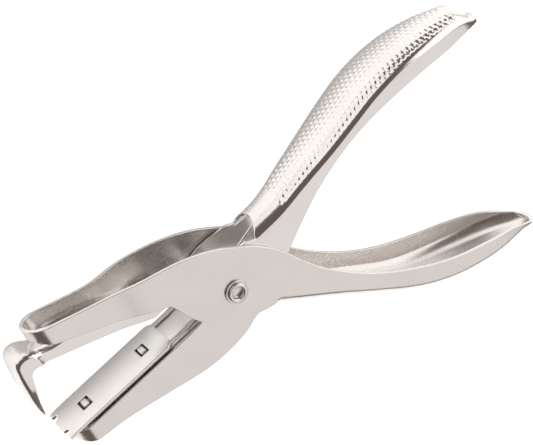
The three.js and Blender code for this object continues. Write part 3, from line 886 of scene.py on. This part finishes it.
def peened_lug(name, x):
    """The carrier's lug, struck down in its window: a low dome on a rounded block."""
    top, foot = float(plate_top(x)) + 0.28, float(plate_top(x)) - PLATE_THICK - 3.6
    rings = []
    for height, scale in ((foot, 1.0), (top - 0.34, 1.0), (top - 0.16, 0.96), (top - 0.06, 0.86),
                          (top, 0.66), (top + 0.01, 0.35), (top + 0.015, 0.08)):
        angle = np.linspace(0, 2 * math.pi, 41)[:-1]
        c, s = np.cos(angle), np.sin(angle)
        power = 0.42
        rings.append(np.stack([
            x + 0.98 * scale * np.sign(c) * np.abs(c) ** power, c * 0 + height,
            1.85 * scale * np.sign(s) * np.abs(s) ** power], -1))
    rings = np.array(rings)
    count = rings.shape[1]
    verts = rings.reshape(-1, 3)
    faces = [[r * count + k, r * count + (k + 1) % count, (r + 1) * count + (k + 1) % count,
              (r + 1) * count + k] for r in range(len(rings) - 1) for k in range(count)]
    faces.append(list(range(count))[::-1])
    faces.append([(len(rings) - 1) * count + k for k in range(count)])
    return add_mesh(name, verts, [f[::-1] for f in faces], "lever", BRIGHT, "bright_nickel")


for name, (x, _) in zip(("lug_head_rear", "lug_head_front"), LUG_SEATS):
    peened_lug(name, x)


# ------------------------------------------------------------------ turned pieces of the pivot
def turned(name, profile, body, material, slot, replaces=(), closed=False, segments=96):
    """A solid of revolution round the pivot; profile is (radius, z), outside seen from +r."""
    angle = np.linspace(0, 2 * math.pi, segments + 1)[:-1]
    rings, verts, faces = [], [], []
    for r, z in profile:
        if r < 1e-6:
            rings.append([len(verts)])
            verts.append((0, 0, z))
        else:
            rings.append(list(range(len(verts), len(verts) + segments)))
            verts += [(r * math.cos(a), r * math.sin(a), z) for a in angle]
    pairs = list(zip(rings[:-1], rings[1:])) + ([(rings[-1], rings[0])] if closed else [])
    for a, b in pairs:
        for k in range(segments):
            n = (k + 1) % segments
            loop = [a[k % len(a)], a[n % len(a)], b[n % len(b)], b[k % len(b)]]
            loop = [v for i, v in enumerate(loop) if v != loop[i - 1]]
            faces.append(loop)
    return add_mesh(name, verts, faces, body, material, slot, replaces)


def filleted(points, radius, steps=3, closed=True):
    """The profile with its corners rounded."""
    out = []
    count = len(points)
    for i, p in enumerate(points):
        if not closed and i in (0, count - 1):
            out.append(p)
            continue
        a, b = Vector(points[i - 1]), Vector(points[(i + 1) % count])
        p = Vector(p)
        r = min(radius, (a - p).length * 0.45, (b - p).length * 0.45)
        start, end = p + (a - p).normalized() * r, p + (b - p).normalized() * r
        for k in range(steps + 1):
            t = k / steps
            out.append(tuple(start * (1 - t) ** 2 + p * 2 * t * (1 - t) + end * t * t))
    return out


SHANK_R = 2.5
WASHER_R, WASHER_THICK = 3.6, 0.5
WASHER_Z = FRAME_HALF + 0.15
for name, z in (("rivet_washer_near", WASHER_Z), ("rivet_washer_far", -WASHER_Z - WASHER_THICK)):
    ring = [(SHANK_R + 0.2, z), (WASHER_R, z), (WASHER_R, z + WASHER_THICK),
            (SHANK_R + 0.2, z + WASHER_THICK)]
    turned(name + "_turned", filleted(ring, 0.14), "frame", SATIN, "satin_nickel", [name],
           closed=True)

sleeve_half = (sleeve_high.z - sleeve_low.z) / MM / 2
ring = [(SHANK_R + 0.2, -sleeve_half), (3.25, -sleeve_half), (3.25, sleeve_half),
        (SHANK_R + 0.2, sleeve_half)]
turned("spacer_sleeve_turned", filleted(ring, 0.15), "frame", SATIN, "satin_nickel",
       ["spacer_sleeve"], closed=True)

head_z = -(WASHER_Z + WASHER_THICK + 0.15)
rim_z = -head_z
rivet = filleted([(0, head_z - 0.9), (2.95, head_z - 0.86), (3.3, head_z - 0.45), (3.3, head_z),
                  (SHANK_R, head_z)], 0.22, closed=False)
rivet += [(SHANK_R, rim_z - 0.02)]
rivet += [(2.62 + 0.36 * math.sin(a), rim_z + 0.36 - 0.40 * math.cos(a))
          for a in np.linspace(0.35, 2.6, 12)]
rivet += [(2.35, rim_z + 0.80), (2.1, rim_z + 0.76), (1.88, rim_z + 0.62), (1.72, rim_z + 0.38),
          (1.62, rim_z + 0.05), (1.56, rim_z - 0.5), (1.5, rim_z - 1.4), (1.5, -5.7)]
rivet += [(1.3, -5.95), (0.7, -6.0), (0, -6.0)]
turned("pivot_rivet_turned", rivet, "frame", SATIN, "satin_nickel", ["pivot_rivet"])


# ------------------------------------------------------------------ torsion spring
def torsion_spring():
    """Two legs on the tangents of a close coil round the sleeve; it twists as the lever turns."""
    coil_r, wire_r, pitch, whole_turns = 4.1, 0.42, 1.35, 3

    def tangent(x, y, sense):
        reach = math.hypot(x, y)
        return (math.atan2(y, x) + sense * math.acos(coil_r / reach),
                math.sqrt(reach**2 - coil_r**2))

    first, first_leg = tangent(17, 10.9, 1)
    last, last_leg = tangent(12.5, -14.9, -1)
    sweep = 2 * math.pi * (whole_turns + 1) + last - first
    top = pitch * sweep / (4 * math.pi)
    line = []
    for t in np.linspace(1, 0, 14)[:-1]:
        line.append((coil_r * math.cos(first) + t * first_leg * math.sin(first),
                     coil_r * math.sin(first) - t * first_leg * math.cos(first), top))
    for t in np.linspace(0, 1, 300):
        a = first + sweep * t
        line.append((coil_r * math.cos(a), coil_r * math.sin(a), top * (1 - 2 * t)))
    for t in np.linspace(0, 1, 14)[1:]:
        line.append((coil_r * math.cos(last) - t * last_leg * math.sin(last),
                     coil_r * math.sin(last) + t * last_leg * math.cos(last), -top))
    line = np.array(line)
    along = np.gradient(line, axis=0)
    along /= np.linalg.norm(along, axis=1)[:, None]
    axis = np.array([0, 0, 1.0])
    side = np.cross(along, axis)
    side /= np.linalg.norm(side, axis=1)[:, None]
    over = np.cross(side, along)
    count = 20
    angle = np.linspace(0, 2 * math.pi, count + 1)[:-1]
    ring = lambda p, s, o, r: [p + r * (s * math.cos(a) + o * math.sin(a)) for a in angle]
    rings = [ring(line[0], side[0], over[0], wire_r * 0.8)]
    rings += [ring(p, s, o, wire_r) for p, s, o in zip(line[1:-1], side[1:-1], over[1:-1])]
    rings += [ring(line[-1], side[-1], over[-1], wire_r * 0.8)]
    verts = np.array(rings).reshape(-1, 3)
    faces = [[r * count + k, r * count + (k + 1) % count, (r + 1) * count + (k + 1) % count,
              (r + 1) * count + k] for r in range(len(rings) - 1) for k in range(count)]
    faces += [list(range(count))[::-1], [(len(rings) - 1) * count + k for k in range(count)]]
    spring = add_mesh("torsion_spring_wire", verts, [f[::-1] for f in faces], None, SPRING,
                      "spring_steel", ["torsion_spring"])
    at = lambda x, y: tuple(PIVOT + MM * np.array((x, y, 0)))
    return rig.blend(spring, "frame", "lever", start=at(0, -4.4), end=at(0, 4.4))


torsion_spring()


def lug_carrier():
    """The folded strip inside the lever, whose top carries the plate.

    It stops short of the rivet: the CAD node's ears round the pivot aren't modelled here.
    """
    half, thick, fold = LEVER_HALF - SHEET - GAP, 1.0, 1.2
    start = LEVER_NOSE_X + 4.6
    xs = spread(start, -18.5, 0.6)
    ridge = np.concatenate([
        np.stack([xs, wall_top(xs)], -1),
        bezier((-18.5, wall_top(-18.5)), (-13.5, -1.1), (-10.6, 0.2), (-8.6, 4.6), 30)[1:],
        bezier((-8.6, 4.6), (-7.6, 7.0), (-5.4, 7.9), (-3.2, 8.0), 12)[1:],
    ])
    under = stations([(start, -8.0), (-30, -7.9), (-20, -8.4), (-11, -8.6), (-3, -8.2)])
    columns = []
    for x, y in ridge:
        column = [(x, y, z) for z in np.linspace(0, half - fold, 6)]
        for phi in np.linspace(0, math.pi / 2, 6)[1:]:
            column.append((x, y - fold * (1 - math.cos(phi)), half - fold * (1 - math.sin(phi))))
        low = float(under(x))
        column += [(x, q, half) for q in np.linspace(y - fold, low, 10)[1:]]
        for seat, length in LUG_SEATS:  # the pit under each window
            if abs(x - seat) < length / 2 - 0.1:
                column[:6] = [(x, y - 3.2 * (z < LUG_WINDOW / 2), z) for x, y, z in column[:6]]
        columns.append(column)
    return sheet("lug_carrier_sheet", [np.array(columns)], thick, "lever", BRIGHT,
                 "bright_nickel", ["lug_carrier"])


lug_carrier()


# ------------------------------------------------------------------ stage, lights and camera
def stage_sheet(name, size, location, aim, color, emission):
    """A flat panel of the studio, turned to face a point."""
    grid = np.linspace(-0.5, 0.5, 5)
    points = np.array([[(x * size[0], y * size[1], 0) for y in grid] for x in grid])
    verts, faces = patch(points)
    mesh = bpy.data.meshes.new(name)
    mesh.from_pydata(verts.tolist(), [], faces.tolist())
    material = bpy.data.materials.new(name)
    material.use_nodes = True
    shader = material.node_tree.nodes["Principled BSDF"]
    shader.inputs["Base Color"].default_value = (*color, 1)
    shader.inputs["Roughness"].default_value = 0.6
    shader.inputs["Emission Color"].default_value = (*color, 1)
    shader.inputs["Emission Strength"].default_value = emission
    mesh.materials.append(material)
    obj = bpy.data.objects.new(name, mesh)
    bpy.context.scene.collection.objects.link(obj)
    obj.location = location
    obj.rotation_mode = "QUATERNION"
    direction = Vector(aim) - Vector(location)
    obj.rotation_quaternion = direction.to_track_quat("Z", "Y")
    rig.stage(obj)
    return obj


def area_light(name, location, size, power):
    """A soft box that faces the object and is seen only in reflections."""
    light = bpy.data.lights.new(name, "AREA")
    light.shape = "RECTANGLE"
    light.size, light.size_y = size
    light.energy = power
    obj = bpy.data.objects.new(name, light)
    bpy.context.scene.collection.objects.link(obj)
    obj.location = location
    obj.rotation_mode = "QUATERNION"
    obj.rotation_quaternion = (-Vector(location)).to_track_quat("-Z", "Y")
    obj.visible_camera = False
    return obj


# the white floor and dome are only for the camera; the sweep is only for reflections
WHITE, PALE = (0.93, 0.93, 0.93), (0.86, 0.85, 0.84)
floor = stage_sheet("floor", (4, 4), (0, 0, -0.0006), (0, 0, 1), WHITE, emission=0.9)
floor.visible_glossy = floor.visible_diffuse = False
sweep = stage_sheet("sweep", (1.2, 1.2), (0, 0, -0.0003), (0, 0, 1), PALE, emission=0.25)
sweep.visible_camera = False

turn, rise = np.meshgrid(np.linspace(0, 2 * math.pi, 49),
                         np.linspace(-0.5 * math.pi, 0.5 * math.pi, 25))
dome_points = 3 * np.stack([np.cos(turn) * np.cos(rise), np.sin(turn) * np.cos(rise),
                            np.sin(rise)], -1)
backdrop = bpy.data.meshes.new("backdrop")
verts, faces = patch(dome_points)
backdrop.from_pydata(verts.tolist(), [], faces.tolist())
backdrop.materials.append(floor.data.materials[0])
backdrop = bpy.data.objects.new("backdrop", backdrop)
bpy.context.scene.collection.objects.link(backdrop)
backdrop.visible_glossy = backdrop.visible_diffuse = backdrop.visible_shadow = False
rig.stage(backdrop)

camera = bpy.data.objects.new("camera", bpy.data.cameras.new("camera"))
bpy.context.scene.collection.objects.link(camera)
bpy.context.scene.camera = camera
right, up, back = (
    (0.77096, -0.41748, 0.48098),
    (0.60242, 0.72309, -0.33799),
    (-0.20669, 0.55032, 0.80897),
)
place = PIVOT + MM * np.array((-94.68, 310.97, 447.65))
camera.matrix_world = Matrix(
    [[right[i], up[i], back[i], place[i]] for i in range(3)] + [[0, 0, 0, 1]]
)
camera.data.sensor_width = 36
camera.data.lens = 131.3
camera.data.clip_start = 0.01

world = bpy.data.worlds.new("studio")
bpy.context.scene.world = world
world.use_nodes = True
background = world.node_tree.nodes["Background"]
background.inputs["Color"].default_value = (0.14, 0.106, 0.09, 1)
background.inputs["Strength"].default_value = 1.0

# soft boxes, by the direction they stand in: (azimuth from +X, elevation), radiance
for name, azimuth, elevation, size, radiance in (
    ("over_the_jaw_side", -70, 56, (1.5, 1.5), 0.71),
    ("behind_the_camera", 112, 14, (1.2, 0.5), 0.95),
    ("over_the_handles", 14, 30, (1.0, 1.1), 1.1),
):
    a, e = math.radians(azimuth), math.radians(elevation)
    where = [math.cos(a) * math.cos(e), math.sin(a) * math.cos(e), math.sin(e)]
    area_light(name, where, size, radiance * math.pi * size[0] * size[1])
overhead = area_light("overhead", (0.05, -0.36, 1.0), (0.4, 0.4), 8)
overhead.visible_glossy = False
bpy.context.scene.view_settings.view_transform = "Standard"

low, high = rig.bounds()
with open("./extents.json", "w") as out:
    json.dump({"cad": [list(cad_low), list(cad_high)], "visual": [list(low), list(high)]}, out)
